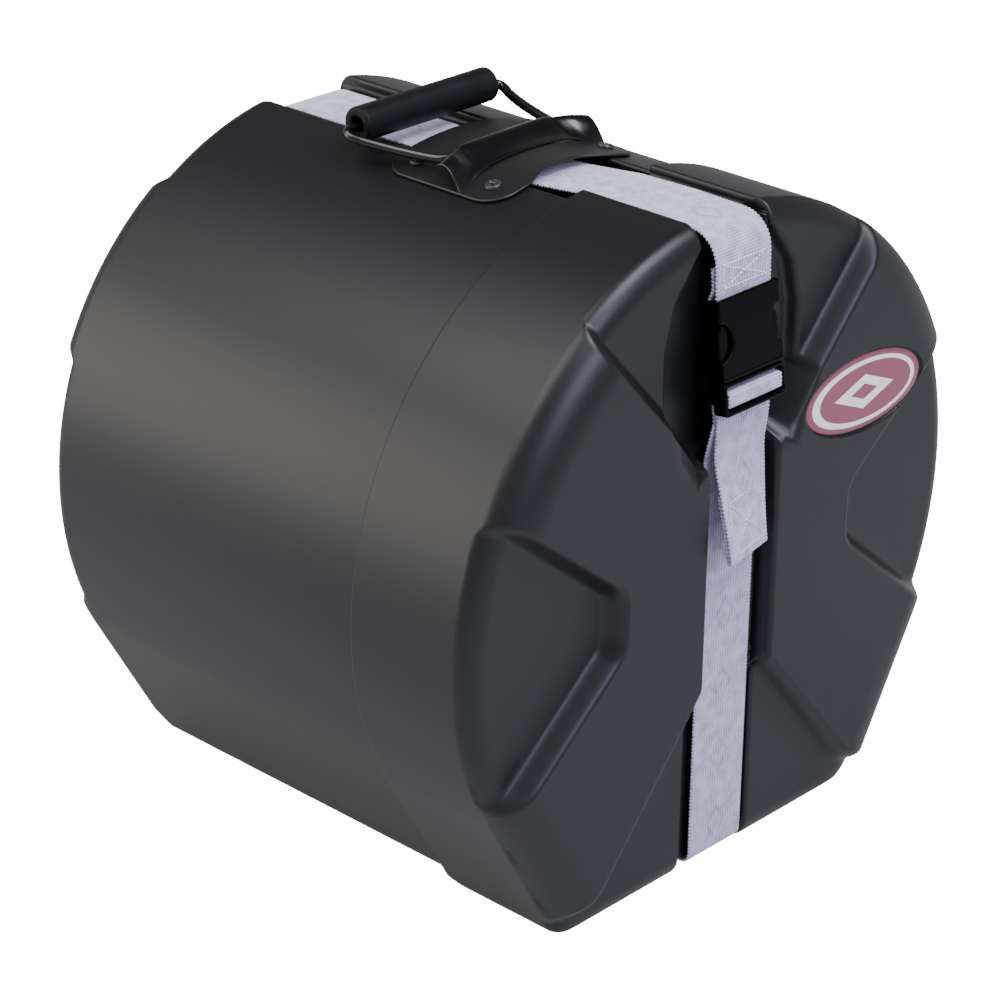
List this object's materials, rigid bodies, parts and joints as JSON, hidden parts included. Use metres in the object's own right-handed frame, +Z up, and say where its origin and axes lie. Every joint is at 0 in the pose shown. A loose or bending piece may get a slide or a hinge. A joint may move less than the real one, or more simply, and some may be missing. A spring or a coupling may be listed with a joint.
{
  "type": "drum case",
  "caption": "Hard D-section drum case with a telescoping lid, a webbing strap closed by a side-release buckle, and a wire bail handle on top.",
  "frame": {"origin": "centre of the bounding box's bottom, on the floor that the flat side stands on", "axes": "+Z up, +Y along the drum's axis from the lid to the base's end, +X to the right of someone who faces the lid"},
  "size_m": [0.4554, 0.4129, 0.4568],
  "materials": {
    "shell_plastic": "fine satin polyethylene",
    "black_steel": "satin black",
    "gloss_steel": "gloss black",
    "grip_rubber": "matte black",
    "buckle_plastic": "semi-gloss acetal",
    "webbing": "lilac-grey woven polypropylene",
    "foam": "charcoal foam",
    "badge_ink": "maroon with a pale ring, no lettering"
  },
  "bodies": {
    "base": {"base_shell": "shell_plastic", "base_wall_lining": "foam", "base_end_pad": "foam", "handle_plate": "black_steel", "handle_backing_left": "black_steel", "handle_backing_right": "black_steel", "rivet_front_left": "black_steel", "rivet_front_right": "black_steel", "rivet_rear_left": "black_steel", "rivet_rear_right": "black_steel", "hinge_cover": "gloss_steel", "strap_base_run": "webbing"},
    "lid": {"lid_shell": "shell_plastic", "lid_end_pad": "foam", "badge": "badge_ink", "strap_lid_top": "webbing", "strap_front_run": "webbing", "buckle_socket": "buckle_plastic"},
    "bail": {"bail_wire": "black_steel"},
    "grip": {"grip_sleeve": "grip_rubber"},
    "plug": {"buckle_plug": "buckle_plastic", "strap_tail": "webbing"},
    "prong_left": {"latch_prong_left": "buckle_plastic"},
    "prong_right": {"latch_prong_right": "buckle_plastic"}
  },
  "joints": [
    {"name": "lid_slide", "type": "slide", "parent": "base", "child": "lid", "axis": [0, -1, 0], "range_m": [0, 0.12]},
    {"name": "bail_hinge", "type": "hinge", "parent": "base", "child": "bail", "pos_m": [0, 0.00505, 0.4423], "axis": [1, 0, 0], "range_deg": [0, 90]},
    {"name": "grip_spin", "type": "hinge", "parent": "bail", "child": "grip", "pos_m": [0, 0.07505, 0.4473], "axis": [1, 0, 0], "continuous": true},
    {"name": "plug_slide", "type": "slide", "parent": "lid", "child": "plug", "axis": [0, -0.1444, -0.9895], "range_m": [0, 0.042], "deforming": ["strap_front_run", "latch_prong_left", "latch_prong_right"]},
    {"name": "prong_left_flex", "type": "hinge", "parent": "plug", "child": "prong_left", "pos_m": [-0.0125, -0.20305, 0.346], "axis": [0, 0.9895, -0.1444], "range_deg": [0, 9], "stiffness_Nm_per_rad": 0.25},
    {"name": "prong_right_flex", "type": "hinge", "parent": "plug", "child": "prong_right", "pos_m": [0.0125, -0.20305, 0.346], "axis": [0, -0.9895, 0.1444], "range_deg": [0, 9], "stiffness_Nm_per_rad": 0.25}
  ]
}
